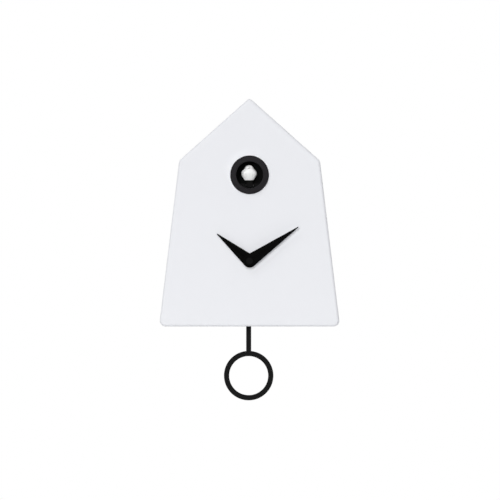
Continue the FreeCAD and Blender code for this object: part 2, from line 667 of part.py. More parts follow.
def movement_front():
    """The front shell of the movement with the threaded bush that passes through the panel."""
    body = new_body("movement_front")
    half, room = "movement_half", "movement_half - shell"
    start = "movement_back + shell"
    outside = rectangle(sketch(body, offset=start), f"-{half}", half, f"-{half}", half)
    pad(body, outside, f"movement_front - ({start})")
    for x, z in ((1, 1), (1, -1), (-1, 1), (-1, -1)):
        dress(body, "Fillet", "3", upright(f"{x} * {half}", f"{z} * {half}"))
    inside = rectangle(sketch(body, offset=start), f"-({room})", room, f"-({room})", room)
    pocket(body, inside, f"movement_front - shell - ({start})", reverse=True)
    collar(body, "bush_radius", "movement_front - shell", "shell + 6.1")
    bore(body, "bush_bore", "movement_front - 2 * shell", "8.5 + shell")
    pivot = circle(sketch(body, offset="movement_front - shell"), "3", "setting_x", "0")
    pad(body, pivot, "0.5", reverse=True)
    pivot_hole = circle(sketch(body, offset="movement_front - shell - 2"), "shaft_room", "setting_x", "0")
    pocket(body, pivot_hole, "2.6", reverse=True)
    return node("movement_front", at(body, "0", "0", up("hub_height")))


def movement_back():
    """The back shell of the movement, with the pendulum's bearing ears."""
    half = "movement_half"
    plate = block((f"-{half}", half), ("movement_back", "movement_back + shell"),
                  (f"hub_height - {half}", f"hub_height + {half}"))
    socket = rod("3", "movement_back + shell", "movement_back + shell + 2", "0", "0", "hub_height")
    spot, across = "swing_height", ("swing_x - 4", "swing_x + 4")
    ear_back = block(across, ("swing_out - 5", "swing_out - 3"), (f"{spot} - 4", f"{spot} + 5"))
    bridge = block(across, ("swing_out - 5", "movement_back"), (f"{spot} + 3.6", f"{spot} + 6"))
    axle_hole = rod("swing_pin + 0.01", "swing_out - 6", "movement_back", "swing_x", "0", spot)
    arbor_hole = rod("shaft_room", "movement_back + 0.8", "movement_back + 6", "0", "0", "hub_height")
    setting_hole = rod("2.56", "movement_back - 1", "movement_back + 6", "setting_x", "0", "hub_height")
    solid = join(plate, socket, ear_back, bridge)
    return node("movement_back", cut(solid, axle_hole, arbor_hole, setting_hole))


def movement_washer():
    return node("movement_washer", ring("8", "bush_radius + 0.1", "movement_front", "case_depth - wall",
                                        "0", "hub_height"))


def movement_nut():
    """The hexagon nut that clamps the movement to the front panel."""
    body = new_body("movement_nut")
    radius = "nut_half / cos(30deg)"
    hexagon = polygon(sketch(body, offset="case_depth"), [
        (f"{radius} * cos({60 * i}deg)", f"{radius} * sin({60 * i}deg)") for i in range(6)])
    pad(body, hexagon, "2")
    dress(body, "Chamfer", "0.4", on_plane("case_depth + 2"))
    bore(body, "bush_radius + 0.05", "case_depth", "2")
    return node("movement_nut", at(body, "0", "0", up("hub_height")))


def step_motor():
    """The coil and laminated stator of the step motor, and the circuit board, inside the movement."""
    low, high = "hub_height - 25", "hub_height - 13"
    core = block(("11", "24"), ("71.6", "72.8"), ("hub_height - 12", "hub_height + 24"))
    window = block(("14", "20.5"), ("71", "73"), ("hub_height - 6", "hub_height + 18"))
    node("movement_stator", cut(core, window))
    bobbin = rod("3.4", "hub_height - 6", "hub_height + 18", "22.25", "72.2", along="up")
    slot = block(("20.4", "24.1"), ("71.5", "72.9"), ("hub_height - 7", "hub_height + 19"))
    node("movement_coil", cut(bobbin, slot))
    board = block(("-24", "24"), ("68", "69.2"), (low, high))
    node("movement_board", board)
    chip = block(("-10", "-4"), ("69.2", "70.4"), (f"{low} + 3", f"{low} + 9"))
    crystal = rod("1.5", "2", "10", "0", "70.7", "hub_height - 19", "side")
    node("movement_board_parts", group(chip, crystal))


def minute_arbor():
    """The centre arbor with the cannon pinion, which carries the minute hand.
    One of its gaps faces a tooth of the setting wheel."""
    body = new_body("minute_arbor")
    spur(body, "motion_module", "cannon_teeth", "2.4", "movement_back + 5")
    collar(body, "shaft_radius", "movement_back + 1", "4.2")
    collar(body, "arbor_radius", "movement_back + 7", "minute_out + 1.8 - movement_back - 7")
    turn(body, AXIS_Y, "180 / cannon_teeth")
    return node("minute_arbor", at(body, "0", "0", up("hub_height")))


def hour_wheel():
    """The hour wheel and its tube, which runs in the bush.
    One of its gaps faces a tooth of the setting wheel's pinion."""
    body = new_body("hour_wheel")
    spur(body, "hour_module", "hour_teeth", "1.5", "movement_front - 4")
    collar(body, "tube_radius", "movement_front - 2.6", "hour_out + hand_thick - movement_front + 2.6")
    bore(body, "tube_bore", "movement_front - 5", "20")
    turn(body, AXIS_Y, "180 / hour_teeth")
    return node("hour_wheel", at(body, "0", "0", up("hub_height")))


def setting_wheel():
    """The minute wheel, its pinion and the shaft that reaches the setting knob."""
    body = new_body("setting_wheel")
    spur(body, "motion_module", "setting_teeth", "1.8", "movement_back + 5.3")
    spur(body, "hour_module", "link_teeth", "2.2", "movement_front - 4.4")
    collar(body, "2", "movement_back + 7", "movement_front - movement_back - 11.3")
    collar(body, "shaft_radius", "movement_front - 3", "2")
    collar(body, "2.5", "4", "movement_back + 1.4")
    return node("setting_wheel", at(body, "setting_x", "0", up("hub_height")))


def setting_knob():
    """The ribbed knob in the back cover that sets the hands."""
    body = new_body("setting_knob")
    collar(body, "knob_radius - 0.6", "knob_start", "knob_length")
    ribs = circle(sketch(body, offset="knob_start"), "0.9", "knob_radius - 0.9", "0")
    around(body, [pad(body, ribs, "knob_length")], ribs, "20")
    bore(body, "2.52", "4", "5")
    return node("setting_knob", at(body, "setting_x", "0", up("hub_height")))


# ---------------------------------------------------------------- hands

def hand(label, reach, angle, out, bore_radius):
    """A flat hand: a round hub whose tangents meet at the tip, turned clockwise from twelve by angle."""
    body = new_body(label)
    hub = circle(sketch(body), "hand_hub")
    pad(body, hub, "hand_thick")
    side = f"hand_hub * sqrt(1 - (hand_hub / {reach}) ^ 2)"
    height = f"hand_hub * hand_hub / {reach}"
    blade = polygon(sketch(body), [
        (f"-({side})", height), (side, height), ("tip_half", reach), ("-tip_half", reach)])
    pad(body, blade, "hand_thick")
    bore(body, bore_radius, "0", "hand_thick")
    at(body, "0", out, up("hub_height"))
    turn(body, AXIS_Y, angle)
    return node(label, body)


def hand_nut():
    """The round cap that holds the minute hand on the arbor."""
    body = new_body("hand_nut")
    start = "minute_out + hand_thick"
    collar(body, "cap_radius", start, "cap_thick")
    dress(body, "Fillet", "0.7", on_plane(f"{start} + cap_thick"))
    bore(body, "arbor_radius + 0.03", start, "cap_bore")
    return node("hand_nut", at(body, "0", "0", up("hub_height")))


# ---------------------------------------------------------------- pendulum

def pendulum_hanger():
    """The swinging arm behind the movement: eye, magnet seat and the hook for the rod."""
    back, front = "swing_out - arm_thick / 2", "swing_out + arm_thick / 2"
    seat_height = "rod_top + magnet_rise"
    eye = rod("3.4", back, front, "swing_x", "0", "swing_height")
    sleeve = rod("2.4", "swing_out - 2.8", "movement_back - 0.2", "swing_x", "0", "swing_height")
    arm = block(("swing_x - 3", "swing_x + 3"), (back, front), ("rod_top - 3", "swing_height"))
    seat = rod("6", back, front, "swing_x", "0", seat_height)
    hole = rod("swing_pin + 0.06", "swing_out - 4", "movement_back", "swing_x", "0", "swing_height")
    magnet_room = rod("4", "swing_out", f"{front} + 1", "swing_x", "0", seat_height)
    peg = rod("1.5", f"{back} - rod_thick", back, "swing_x", "0", "rod_top")
    return node("pendulum_hanger", cut(join(eye, sleeve, arm, seat, peg), hole, magnet_room))


def pendulum_parts():
    """The magnet on the arm, the coil that drives it and the steel pivot pin."""
    height = "rod_top + magnet_rise"
    node("pendulum_magnet", rod("4", "swing_out", "swing_out + 2.6", "swing_x", "0", height))
    node("pendulum_coil", ring("8", "3.2", "swing_out + 3.4", "movement_back", "swing_x", height))
    pin = rod("swing_pin", "swing_out - 5", "movement_back", "swing_x", "0", "swing_height")
    node("pendulum_pin", pin)


def pendulum():
    """The black moulding that shows below the case: a flat rod with an eye above and a ring below."""
    body = new_body("pendulum")
    front = "rod_thick"
    top = "rod_top + bob_drop"
    stem = rectangle(sketch(body), "-rod_width / 2", "rod_width / 2", "bob_radius - bob_width / 2", top)
    pad(body, stem, front)
    eye = circle(sketch(body), "3.6", "0", top)
    pad(body, eye, front)
    bob = sketch(body)
    circle(bob, "bob_radius")
    circle(bob, "bob_radius - bob_width")
    pad(body, bob, front)
    hole = circle(sketch(body), "1.65", "0", top)
    pocket(body, hole, front, reverse=True)
    dress(body, "Fillet", "0.4", lambda edge: on_plane("0")(edge) or on_plane(front)(edge))
    return node("pendulum", at(body, "swing_x", f"{ROD_FRONT} - rod_thick", up("-bob_drop")))


# ---------------------------------------------------------------- battery box

CELLS = ["cell_height + cell_pitch", "cell_height", "cell_height - cell_pitch"]
TRAY_SCREWS = [("tray_half + 5.5", "cell_height"), ("-tray_half - 5.5", "cell_height")]


def battery_tray():
    """The box behind the battery opening, with ears that are screwed to stands on the back cover."""
    outside = block(("-tray_half - tray_wall", "tray_half + tray_wall"), ("cover_thick", "tray_back"),
                    ("tray_low", "tray_high"))
    inside = block(("-tray_half", "tray_half"), ("cover_thick - 1", "tray_back - tray_wall"),
                   ("tray_low + 1.2", "tray_high - 1.2"))
    stand = "cover_thick + stand_height"
    ears = [block((f"{x} - 4.5", f"{x} + 4.5"), (stand, f"{stand} + ear_thick"),
                  (f"{height} - 5", f"{height} + 5")) for x, height in TRAY_SCREWS]
    holes = [rod("1.5", stand, f"{stand} + 3", x, "0", height) for x, height in TRAY_SCREWS]
    return node("battery_tray", cut(join(outside, *ears), inside, *holes))


def tray_screws():
    """Two short screws, driven from inside the case."""
    made = []
    seat = "cover_thick + stand_height + ear_thick"
    for x, height in TRAY_SCREWS:
        head = rod("2.6", seat, f"{seat} + head_thick", x, "0", height)
        shank = rod("screw_shank", "2", seat, x, "0", height)
        made.append(join(head, shank))
    return node("tray_screws", group(*made))


def batteries():
    """Three AA cells that lie side by side, turned end for end, with a coil spring at each flat end."""
    inner = "tray_half - contact_thick"
    cells, springs = [], []
    for index, height in enumerate(CELLS):
        button = f"{inner} - cell_button"
        flat = f"{button} - cell_length"
        # Each stretch along X runs towards the button; every second cell is its mirror image.
        stretches = [("cell_radius", flat, button), ("2.7", button, inner),
                     ("spring_radius", f"-({inner})", flat), ("spring_radius - 0.8", f"-({inner})", flat)]
        if index % 2:
            stretches = [(radius, f"-({end})", f"-({start})") for radius, start, end in stretches]
        can, cap, coil, core = [rod(*stretch, "0", "cell_out", height, "side") for stretch in stretches]
        cells.append(join(can, cap))
        springs.append(cut(coil, core))
    plates = [block(x, ("6", "17"), (f"{CELLS[2]} - 5", f"{CELLS[0]} + 5"))
              for x in (("-tray_half", f"-({inner})"), (inner, "tray_half"))]
    node("battery_cells", group(*cells))
    node("battery_springs", group(*springs))
    node("battery_plates", group(*plates))


def battery_door():
    """The door in the back cover, which turns on two pins at its upper edge."""
    edge = "door_high - cover_thick / 2"
    panel = block(("-door_half", "door_half"), ("0.2", "cover_thick"), ("door_low", edge))
    knuckle = rod("cover_thick / 2", "-door_half", "door_half", "0", "cover_thick / 2", edge, "side")
    trim = block(("-door_half - 1", "door_half + 1"), ("-1", "0.2"), ("door_low - 1", "door_high + 1"))
    pins = rod("hinge_radius", "-door_half - 2.2", "door_half + 2.2", "0", "cover_thick / 2", edge, "side")
    tongue = block(("-5", "5"), ("cover_thick - 0.5", "cover_thick + 3"),
                   ("door_low + 0.2", "door_low + 1.4"))
    notch = rod("6", "-0.9", "1.3", "0", "0", "door_low")
    return node("battery_door", cut(join(panel, knuckle, pins, tongue), trim, notch))


# ---------------------------------------------------------------- sound parts and controls

BOARD_CORNERS = [(f"board_x {a} (board_half_x - 3)", f"board_height {b} (board_half_z - 3)")
                 for a in "+-" for b in "+-"]


def speaker():
    """The loudspeaker: steel basket, paper cone and magnet."""
    x, height = "speaker_x", "speaker_height"
    shelf, back = "cover_thick + 1.2", "cover_thick + basket_depth"
    cone_radius, wall_radius = "speaker_radius - 3", "speaker_radius - 3 + basket_wall"
    flange = ring("speaker_radius", cone_radius, "cover_thick", shelf, x, height)
    side = ring(wall_radius, cone_radius, shelf, f"{back} - basket_wall", x, height)
    rear = ring(wall_radius, "6", f"{back} - basket_wall", back, x, height)
    node("speaker_basket", join(flange, side, rear))
    node("speaker_magnet", rod("11", back, f"{back} + 5.5", x, "0", height))
    body = new_body("speaker_cone")
    profile = polygon(sketch(body, "YZ_Plane"), [
        ("-1.2", cone_radius), ("-0.6", cone_radius), ("-0.9", "17.5"), ("-4.4", "6"),
        ("-2.6", "0"), ("-3.2", "0"), ("-5.1", "6"), ("-1.5", "17.5")])
    spin(body, profile)
    node("speaker_cone", at(body, x, "cover_thick", up(height)))


def speaker_clamp():
    """The ring pressed into the cover's seat, which holds the speaker by its flange."""
    return node("speaker_clamp", ring("speaker_radius + 0.25", "speaker_radius - 1.9", "cover_thick + 1.2",
                                      "cover_thick + 3", "speaker_x", "speaker_height"))


def sound_board():
    """The board, its chip, plug and two capacitors."""
    x, height, top = "board_x", "board_height", "board_out + board_thick"
    board = block((f"{x} - board_half_x", f"{x} + board_half_x"), ("board_out", top),
                  (f"{height} - board_half_z", f"{height} + board_half_z"))
    holes = [rod("1.3", "board_out - 1", f"{top} + 1", x, "0", z) for x, z in BOARD_CORNERS]
    node("sound_board", cut(board, *holes))
    chip = block((f"{x} - 5", f"{x} + 5"), (top, f"{top} + 2"), (f"{height} - 4", f"{height} + 4"))
    cans = [rod("2.5", top, f"{top} + 7", f"{x} {side} 11", "0", f"{height} + 6") for side in "+-"]
    plug = block((f"{x} - 9", f"{x} + 9"), (top, f"{top} + 5"), (f"{height} - 16", f"{height} - 11"))
    node("sound_board_parts", group(chip, plug, *cans))


def board_screws():
    made = []
    start = "board_out + board_thick"
    for x, height in BOARD_CORNERS:
        head = rod("2", start, f"{start} + head_thick", x, "0", height)
        shank = rod("0.96", f"{start} - 6", start, x, "0", height)
        made.append(join(head, shank))
    return node("board_screws", group(*made))


def controls():
    """The three controls that a hand reaches through the back cover."""
    x, high = "board_x", "board_height + switch_rise"
    case = block((f"{x} - 7", f"{x} + 7"), ("board_out - 4", "board_out"), (f"{high} - 3", f"{high} + 3"))
    room = block((f"{x} - 5.2", f"{x} + 5.2"), ("board_out - 5", "board_out - 1"),
                 (f"{high} - 1.6", f"{high} + 1.6"))
    node("mode_switch_case", cut(case, room))
    lever = block((f"{x} - 1.8", f"{x} + 1.8"), ("0.6", "board_out - 1.1"),
                  (f"{high} - 1.4", f"{high} + 1.4"))
    node("mode_switch_lever", lever)
    pot = rod("6", "board_out - 4", "board_out", x, "0", "board_height")
    shaft_room = rod("2.06", "board_out - 5", "board_out - 1", x, "0", "board_height")
    node("volume_pot", cut(pot, shaft_room))
    cap = rod("dial_radius", "0.6", "board_out - 4.3", x, "0", "board_height")
    shaft = rod("2", "board_out - 5", "board_out - 1.3", x, "0", "board_height")
    groove = block((f"{x} - 4", f"{x} + 4"), ("0.6", "1.8"), ("board_height - 0.6", "board_height + 0.6"))
    node("volume_dial", cut(join(cap, shaft), groove))
    low = "board_height - button_drop"
    case = block((f"{x} - 4", f"{x} + 4"), ("board_out - 3.5", "board_out"), (f"{low} - 4", f"{low} + 4"))
    room = rod("1.9", "board_out - 4", "board_out - 1", x, "0", low)
    node("test_switch_case", cut(case, room))
    cap = rod("button_radius", "0.5", "4.6", x, "0", low)
    stem = rod("1.8", "4.6", "board_out - 2.6", x, "0", low)
    node("test_button", join(cap, stem))


def light_sensor():
    """The sensor and its flush bezel in the underside of the case; the electronics are quiet in the dark."""
    x, out = "sensor_x", "sensor_out"
    neck = rod("sensor_radius + 1", "0.1", "wall + 0.5", x, out, along="up")
    flange = rod("sensor_radius + 2.5", "wall", "wall + 1.5", x, out, along="up")
    hole = rod("sensor_radius + 0.05", "0", "wall + 2", x, out, along="up")
    node("sensor_bezel", cut(join(flange, neck), hole))
    body = rod("sensor_radius", "0.4", "wall + 3.5", x, out, along="up")
    node("light_sensor", body)


# ---------------------------------------------------------------- leads

def lead(points):
    """A round lead through points (x, out, height): straight runs joined by tangent arcs.
    Each arc's ends lie 0.45 of the shorter run from its point, so it is as large as its runs allow."""
    drop, thick = number_of("hang_height"), number_of("lead_radius")
    points = [Vector(x, -out, height - drop) for x, out, height in points]
    edges, start = [], points[0]
    for before, corner, after in zip(points, points[1:], points[2:]):
        into, away = corner - before, after - corner
        reach = 0.45 * min(into.Length, away.Length)
        half_turn = into.getAngle(away) / 2
        into.normalize()
        away.normalize()
        first, last = corner - into * reach, corner + away * reach
        towards_centre = (away - into).normalize()
        radius = reach / math.tan(half_turn)
        middle = corner + towards_centre * (radius / math.cos(half_turn) - radius)
        edges.append(Part.LineSegment(start, first).toShape())
        edges.append(Part.Arc(first, middle, last).toShape())
        start = last
        print(f"  lead radius {radius:.1f} at {tuple(round(c, 1) for c in corner)}")
    edges.append(Part.LineSegment(start, points[-1]).toShape())
    path = Part.Wire(edges)
    section = Part.Wire(Part.makeCircle(thick, points[0], points[1] - points[0]))
    made = doc.addObject("Part::Feature", "lead")
    made.Shape = path.makePipeShell([section], True, False)
    expected = math.pi * thick ** 2 * path.Length
    if abs(made.Shape.Volume / expected - 1) > 0.02:
        raise RuntimeError(f"lead volume {made.Shape.Volume:.1f}, expected {expected:.1f}")
    return made


def pair(points, x=0, height=0):
    """Two leads side by side: the second is moved by x and height."""
    return [lead(points), lead([(p[0] + x, p[1], p[2] + height) for p in points])]


def leads():
    """The leads that run from the board's plug to the motor, speaker, cells, sensor and movement."""
    plug = 16.6
    to_motor = [(52.6, plug, 98.5), (52.6, 24, 100), (53, 31, 112), (52, 31, 126), (47.5, 27, 136),
                (41.5, 25, 137.6)]
    to_motor_front = [(54.2, plug, 98.5), (55, 28, 100), (56, 39, 112), (54, 43, 126), (48, 41, 136),
                      (41.5, 39, 137.6)]
    to_speaker = [(49, plug, 97.5), (48, 27, 97), (34, 35, 97), (10, 34, 99), (-14, 27, 100), (-26, 18, 101),
                  (-29, 9.9, 103)]
    to_cells = [(56, plug, 97.5), (56, 27, 95), (51, 31, 84), (38, 25, 73), (24, 16, 68), (20, 13, 60)]
    to_sensor = [(61.5, plug, 97.5), (62, 29, 94), (65, 45, 80), (64, 58, 60), (55, 62, 40), (47, 61, 22),
                 (45, 60, 6)]
    to_movement = [(50.7, plug, 99.6), (51, 30, 96), (44, 45, 88), (33, 57, 83), (23, 65.5, 80)]
    node("motor_leads", group(lead(to_motor), lead(to_motor_front)))
    node("speaker_leads", group(*pair(to_speaker, height=1.6)))
    node("battery_leads", group(*pair(to_cells, x=1.7)))
    node("signal_leads", group(*pair(to_sensor, x=-1.5), *pair(to_movement, height=-1.8)))


# ---------------------------------------------------------------- build

for make in (front_case, back_cover, cover_screws, porthole_ring, bird_tunnel, bird, bird_carriage,
             bird_screw, bird_frame, bird_frame_screws, bird_gear, bird_axle, bird_motor, motor_screws,
             motor_pinion, movement_front, movement_back, movement_washer, movement_nut, step_motor,
             minute_arbor, hour_wheel, setting_wheel, setting_knob, hand_nut, pendulum_hanger,
             pendulum_parts, pendulum, battery_tray, tray_screws, batteries, battery_door, speaker,
             speaker_clamp, sound_board, board_screws, controls, light_sensor, leads):
    make()
hand("hour_hand", "hour_reach", "hour_angle", "hour_out", "tube_radius + 0.02")
hand("minute_hand", "minute_reach", "minute_angle", "minute_out", "arbor_radius + 0.02")

doc.recompute()
failed = [item.Label for item in doc.Objects if {"Invalid", "Error"} & set(item.State)]
if failed:
    raise SystemExit(f"failed objects: {failed}")
os.makedirs("parts", exist_ok=True)
for item in NODES:
    shape = item.Shape
    if shape.isNull() or not shape.isValid() or not shape.Solids:
        raise SystemExit(f"{item.Label} has no valid solid")
    shape.exportStep(f"parts/{item.Label}.step")
    print(f"{item.Label:24s} solids {len(shape.Solids)}  volume {shape.Volume:10.1f}")
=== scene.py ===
import json
import math

import bmesh
import bpy
from mathutils import Matrix, Vector


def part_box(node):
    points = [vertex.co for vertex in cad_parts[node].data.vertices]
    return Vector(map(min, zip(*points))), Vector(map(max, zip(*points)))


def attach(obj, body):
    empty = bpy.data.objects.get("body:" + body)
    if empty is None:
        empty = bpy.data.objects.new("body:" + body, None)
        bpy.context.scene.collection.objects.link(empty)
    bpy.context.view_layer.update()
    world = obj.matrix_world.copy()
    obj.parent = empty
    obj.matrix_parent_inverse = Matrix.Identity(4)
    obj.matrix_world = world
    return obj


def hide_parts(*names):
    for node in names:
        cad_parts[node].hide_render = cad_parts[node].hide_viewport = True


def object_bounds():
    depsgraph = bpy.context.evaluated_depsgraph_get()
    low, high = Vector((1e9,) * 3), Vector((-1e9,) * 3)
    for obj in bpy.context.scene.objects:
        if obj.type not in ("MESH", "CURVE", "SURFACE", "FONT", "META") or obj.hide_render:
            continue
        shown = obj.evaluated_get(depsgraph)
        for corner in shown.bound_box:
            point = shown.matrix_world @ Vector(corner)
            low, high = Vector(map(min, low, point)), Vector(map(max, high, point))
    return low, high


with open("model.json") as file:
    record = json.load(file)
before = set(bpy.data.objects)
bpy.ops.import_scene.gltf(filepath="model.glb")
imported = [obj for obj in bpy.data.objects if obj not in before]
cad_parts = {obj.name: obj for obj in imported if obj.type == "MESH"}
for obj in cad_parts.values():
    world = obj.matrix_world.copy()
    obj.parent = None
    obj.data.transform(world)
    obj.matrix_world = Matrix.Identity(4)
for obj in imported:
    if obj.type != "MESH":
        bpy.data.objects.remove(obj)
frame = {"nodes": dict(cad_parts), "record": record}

MM = 0.001
CAD_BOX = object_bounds()
SLOT_OF = {row["node"]: row["material_slot"] for row in frame["record"]["subparts"]}


# ---------------------------------------------------------------- materials

class Nodes:
    """A material's node tree, with short calls for the nodes used here."""

    def __init__(self, name):
        self.material = bpy.data.materials.new(name)
        self.material.use_nodes = True
        self.tree = self.material.node_tree
        self.shader = next(n for n in self.tree.nodes if n.type == "BSDF_PRINCIPLED")
        self.place = self.tree.nodes.new("ShaderNodeTexCoord").outputs["Object"]

    def add(self, kind, **inputs):
        """Adds a shader node. Underscores stand for the spaces in an input's name."""
        made = self.tree.nodes.new("ShaderNode" + kind)
        for name, value in inputs.items():
            self.feed(made.inputs[name.replace("_", " ")], value)
        return made

    def feed(self, socket, value):
        if isinstance(value, bpy.types.NodeSocket):
            self.tree.links.new(value, socket)
        else:
            socket.default_value = value

    def noise(self, size, detail=2.0, place=None):
        """Noise whose blotches are about size across, from 0 to 1."""
        made = self.add("TexNoise", Vector=place or self.place, Scale=1 / size, Detail=detail)
        return made.outputs["Fac"]

    def between(self, factor, low, high):
        """Runs from the number low to the number high."""
        made = self.add("MapRange", Value=factor)
        made.inputs["To Min"].default_value = low
        made.inputs["To Max"].default_value = high
        return made.outputs["Result"]

    def blend(self, factor, first, second):
        """Runs from one colour to another."""
        made = self.tree.nodes.new("ShaderNodeMix")
        made.data_type = "RGBA"
        self.feed(made.inputs["Factor"], factor)
        for socket, colour in ((made.inputs["A"], first), (made.inputs["B"], second)):
            self.feed(socket, colour if isinstance(colour, bpy.types.NodeSocket) else (*colour, 1))
        return made.outputs["Result"]

    def bump(self, height, depth):
        """A surface normal raised where height is high, by up to depth."""
        return self.add("Bump", Height=height, Distance=depth).outputs["Normal"]

    def finish(self, **inputs):
        """Sets the shader's own inputs and gives back the material."""
        for name, value in inputs.items():
            self.feed(self.shader.inputs[name.replace("_", " ")], value)
        return self.material


def shade(colour, factor):
    """A colour made lighter or darker."""
    return tuple(min(1.0, c * factor) for c in colour)


def plastic(name, colour, roughness, grain=0.5 * MM, depth=0.004 * MM, vary=0.03, **more):
    """Moulded plastic: faint flow marks in its colour and gloss over a fine spark-eroded grain."""
    n = Nodes(name)
    base = n.blend(n.noise(45 * MM, 3.0), shade(colour, 1 - vary), shade(colour, 1 + vary))
    gloss = n.between(n.noise(9 * MM), roughness - 0.04, roughness + 0.04)
    return n.finish(Base_Color=base, Roughness=gloss, Normal=n.bump(n.noise(grain, 1.0), depth), **more)


def paint(name, colour, roughness, **more):
    """Flat paint with a fine orange-peel."""
    n = Nodes(name)
    peel = n.noise(0.8 * MM)
    base = n.blend(n.noise(6 * MM), shade(colour, 0.85), shade(colour, 1.2))
    gloss = n.between(peel, roughness - 0.05, roughness + 0.05)
    return n.finish(Base_Color=base, Roughness=gloss, Normal=n.bump(peel, 0.012 * MM), **more)


def metal(name, colour, roughness):
    """Metal with fine marks in its gloss and a cloudier tarnish."""
    n = Nodes(name)
    marks = n.noise(0.6 * MM)
    base = n.blend(n.noise(5 * MM, 3.0), shade(colour, 0.82), shade(colour, 1.08))
    gloss = n.between(marks, roughness - 0.08, roughness + 0.1)
    return n.finish(Base_Color=base, Metallic=1.0, Roughness=gloss, Normal=n.bump(marks, 0.006 * MM))


def rubber():
    """Dull black rubber."""
    n = Nodes("rubber_matt")
    fine = n.noise(0.3 * MM)
    base = n.blend(n.noise(4 * MM), (0.018, 0.018, 0.018), (0.035, 0.034, 0.033))
    return n.finish(Base_Color=base, Roughness=n.between(fine, 0.75, 0.9), Normal=n.bump(fine, 0.02 * MM))


def circuit_board():
    """Green solder mask over copper tracks, which show as a paler raised pattern."""
    n = Nodes("board_green")
    tracks = n.add("TexBrick", Vector=n.place, Scale=260.0, Color1=(0, 0, 0, 1), Color2=(0.1, 0.1, 0.1, 1),
                   Mortar=(1, 1, 1, 1), Mortar_Size=0.05)
    pattern = tracks.outputs["Color"]
    base = n.blend(pattern, (0.012, 0.10, 0.035), (0.03, 0.21, 0.08))
    gloss = n.between(n.noise(3 * MM), 0.28, 0.4)
    return n.finish(Base_Color=base, Roughness=gloss, Normal=n.bump(pattern, 0.03 * MM))


def winding():
    """Enamelled copper wire laid side by side."""
    n = Nodes("copper_winding")
    wire = n.add("TexWave", Vector=n.place, Scale=900.0, Distortion=1.5)
    wire.bands_direction = "DIAGONAL"
    base = n.blend(wire.outputs["Fac"], (0.28, 0.09, 0.03), (0.62, 0.25, 0.10))
    return n.finish(Base_Color=base, Metallic=1.0, Roughness=n.between(n.noise(2 * MM), 0.25, 0.4),
                    Normal=n.bump(wire.outputs["Fac"], 0.05 * MM))


def cone_paper():
    """Dark pressed paper with its fibres showing."""
    n = Nodes("speaker_paper")
    flattened = n.add("Mapping", Vector=n.place, Scale=(1.0, 1.0, 2.5)).outputs["Vector"]
    fibre = n.noise(0.7 * MM, 5.0, flattened)
    base = n.blend(fibre, (0.02, 0.02, 0.02), (0.07, 0.068, 0.065))
    return n.finish(Base_Color=base, Roughness=n.between(fibre, 0.8, 0.95), Normal=n.bump(fibre, 0.08 * MM))


def bird_plastic():
    """White plastic that light enters a little."""
    n = Nodes("bird_white")
    base = n.blend(n.noise(6 * MM), (0.93, 0.93, 0.925), (0.96, 0.96, 0.955))
    return n.finish(Base_Color=base, Roughness=n.between(n.noise(2 * MM), 0.34, 0.46),
                    Normal=n.bump(n.noise(0.35 * MM), 0.008 * MM),
                    Subsurface_Weight=0.75, Subsurface_Radius=(1.1, 1.1, 1.1), Subsurface_Scale=2.2 * MM)


def sensor_lens():
    """Dark red epoxy, glossy and nearly opaque."""
    n = Nodes("sensor_epoxy")
    base = n.blend(n.noise(1.5 * MM), (0.05, 0.012, 0.012), (0.12, 0.02, 0.02))
    return n.finish(Base_Color=base, Roughness=n.between(n.noise(1 * MM), 0.05, 0.12),
                    Normal=n.bump(n.noise(2 * MM), 0.01 * MM))


MATERIALS = {
    "white_plastic": plastic("white_abs", (0.86, 0.868, 0.90), 0.46,
                             grain=0.9 * MM, depth=0.0015 * MM, vary=0.006),
    "bird_plastic": bird_plastic(),
    "black_plastic": plastic("black_abs", (0.0195, 0.0184, 0.0202), 0.55, vary=0.12, Specular_IOR_Level=0.1),
    # Matt black for the parts inside the porthole, which they are, and set darker still than black_plastic as
    # painted shade for the recess behind the ring.
    "flat_black": plastic("flat_black", (0.008, 0.008, 0.008), 0.9, vary=0.2, Specular_IOR_Level=0.05),
    "hand_paint": paint("hand_black", (0.0035, 0.0035, 0.0035), 0.7, Specular_IOR_Level=0.03),
    "gear_nylon": plastic("acetal_natural", (0.72, 0.70, 0.63), 0.38, vary=0.03),
    "brass": metal("brass_turned", (0.76, 0.55, 0.24), 0.25),
    "steel": metal("steel_zinc", (0.60, 0.61, 0.62), 0.3),
    "magnet": metal("nickel_plate", (0.48, 0.47, 0.44), 0.2),
    "coil_copper": winding(),
    "circuit_board": circuit_board(),
    "component_black": plastic("component_epoxy", (0.022, 0.022, 0.023), 0.55, vary=0.15),
    "cell_wrap": paint("cell_sleeve", (0.03, 0.035, 0.05), 0.3),
    "cell_band": metal("cell_copper", (0.72, 0.40, 0.20), 0.3),
    "rubber": rubber(),
    "cone_paper": cone_paper(),
    "sensor_lens": sensor_lens(),
    "wire_insulation": plastic("wire_red", (0.42, 0.02, 0.02), 0.45, vary=0.06),
}
# Sub-parts whose finish differs from the rest of their slot.
FINISH_OF = {
    "pendulum": plastic("pendulum_black", (0.0113, 0.0113, 0.0113), 0.6, vary=0.15, Specular_IOR_Level=0.06),
    "hand_nut": plastic("cap_black", (0.0078, 0.0078, 0.0079), 0.55, vary=0.15, Specular_IOR_Level=0.05),
}


def dress(piece, slot):
    """Gives a piece the material of a slot."""
    piece.data.materials.clear()
    piece.data.materials.append(MATERIALS[slot])
    return piece


# The radius of the moulded or tumbled edges of sub-parts that show them, in millimetres.
EDGE_OF = {
    "back_cover": 0.25, "battery_door": 0.3, "setting_knob": 0.3, "volume_dial": 0.25, "test_button": 0.3,
    "mode_switch_lever": 0.25, "cover_screws": 0.12, "hour_hand": 0.15, "minute_hand": 0.15,
    "movement_nut": 0.15, "bird_carriage": 0.25, "sensor_bezel": 0.2, "battery_tray": 0.3,
}


def smooth(mesh, angle):
    """Smooth shading that breaks where faces meet at more than an angle in degrees."""
    for polygon in mesh.polygons:
        polygon.use_smooth = True
    mesh.set_sharp_from_angle(angle=math.radians(angle))
    return mesh


